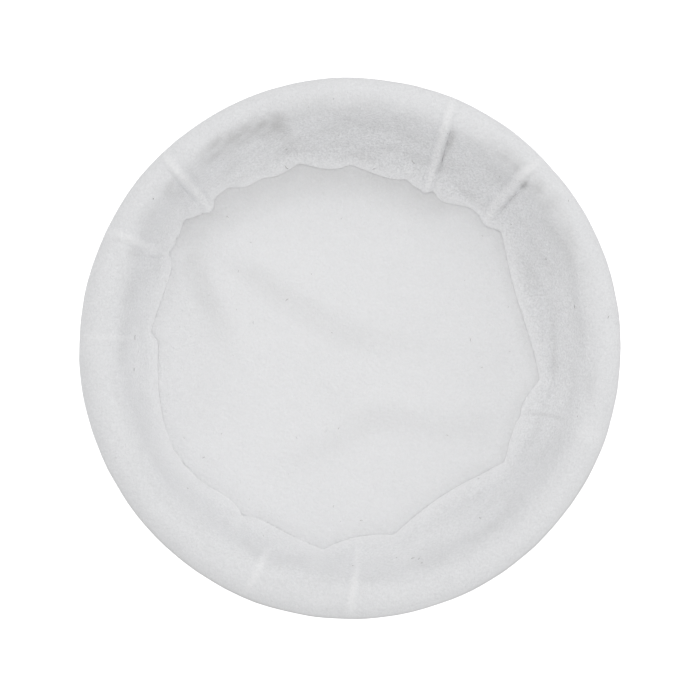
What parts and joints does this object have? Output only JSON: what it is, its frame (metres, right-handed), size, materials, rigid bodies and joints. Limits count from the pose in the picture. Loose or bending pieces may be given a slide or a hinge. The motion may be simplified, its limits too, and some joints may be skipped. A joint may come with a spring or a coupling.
{
  "type": "pakol",
  "caption": "Soft round felted-wool cap with a flat crown and a thick rolled brim, lying on its crown with the head opening up.",
  "frame": {"origin": "centre of the crown's flat outer face, which the cap lies on", "axes": "+Z from the crown's face up through the head opening, so the cap is upside down; +Y is the top of the reference view"},
  "size_m": [0.2699, 0.27, 0.0491],
  "materials": {
    "white_wool_felt": "matt felted wool with a short nap"
  },
  "bodies": {
    "root": {"crown": "white_wool_felt", "rolled_band": "white_wool_felt"}
  },
  "joints": []
}
